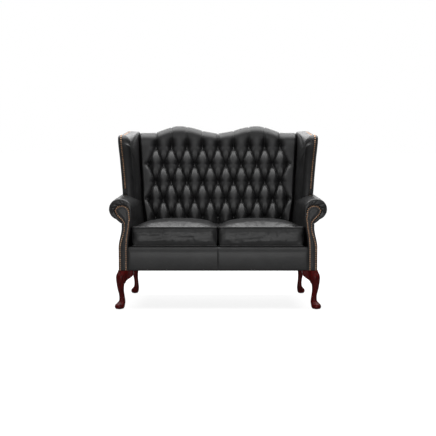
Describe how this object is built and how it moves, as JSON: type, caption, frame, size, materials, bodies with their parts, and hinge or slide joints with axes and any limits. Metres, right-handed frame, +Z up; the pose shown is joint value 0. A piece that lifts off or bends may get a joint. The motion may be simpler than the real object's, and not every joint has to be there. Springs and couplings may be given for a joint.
{
  "type": "two-seater wing sofa",
  "caption": "High-back wing sofa for two in buttoned leather, with a double-humped crest, scrolled arms, loose box cushions and cabriole legs.",
  "frame": {"origin": "on the floor, at the middle of the sofa's width and depth", "axes": "+X along the width, -Y towards the front of the seat, +Z up; left is -X, as seen from the front"},
  "size_m": [1.268, 0.7888, 1.0735],
  "materials": {
    "black_leather": "soft sheen",
    "beech_frame": "bare",
    "mahogany": "polished",
    "nail_brass": "antique",
    "zip_brass": "dull",
    "jute_webbing": "woven",
    "dust_cloth": "woven",
    "foam": "matt",
    "steel": "zinc"
  },
  "bodies": {
    "sofa": {"front_rail": "beech_frame", "rear_rail": "beech_frame", "side_rail_left": "beech_frame", "side_rail_right": "beech_frame", "centre_rail": "beech_frame", "corner_blocks": "beech_frame", "back_post_left": "beech_frame", "back_post_right": "beech_frame", "crest_rail": "beech_frame", "back_lower_rail": "beech_frame", "back_centre_stile": "beech_frame", "arm_post_left": "beech_frame", "arm_post_right": "beech_frame", "arm_rail_left": "beech_frame", "arm_rail_right": "beech_frame", "wing_board_left": "beech_frame", "wing_board_right": "beech_frame", "seat_webbing": "jute_webbing", "back_webbing": "jute_webbing", "seat_deck": "black_leather", "back_pad": "black_leather", "back_buttons": "black_leather", "arm_pad_left": "black_leather", "arm_pad_right": "black_leather", "wing_pad_left": "black_leather", "wing_pad_right": "black_leather", "front_border": "black_leather", "arm_facing_left": "black_leather", "arm_facing_right": "black_leather", "outer_arm_panel_left": "black_leather", "outer_arm_panel_right": "black_leather", "outer_wing_panel_left": "black_leather", "outer_wing_panel_right": "black_leather", "outer_back_panel": "black_leather", "dust_cover": "dust_cloth", "arm_nails_left": "nail_brass", "arm_nails_right": "nail_brass", "wing_nails_left": "nail_brass", "wing_nails_right": "nail_brass", "leg_front_left": "mahogany", "leg_front_right": "mahogany", "leg_rear_left": "mahogany", "leg_rear_right": "mahogany", "leg_screws": "steel", "foot_glides": "steel"},
    "cushion_left": {"cushion_cover_left": "black_leather", "cushion_core_left": "foam", "cushion_piping_left": "black_leather", "cushion_zip_left": "zip_brass"},
    "cushion_right": {"cushion_cover_right": "black_leather", "cushion_core_right": "foam", "cushion_piping_right": "black_leather", "cushion_zip_right": "zip_brass"}
  },
  "joints": [
    {"name": "cushion_left_slide", "type": "slide", "parent": "sofa", "child": "cushion_left", "axis": [0, -0.9986, 0.0523], "range_m": [0, 0.6]},
    {"name": "cushion_right_slide", "type": "slide", "parent": "sofa", "child": "cushion_right", "axis": [0, -0.9986, 0.0523], "range_m": [0, 0.6]}
  ]
}
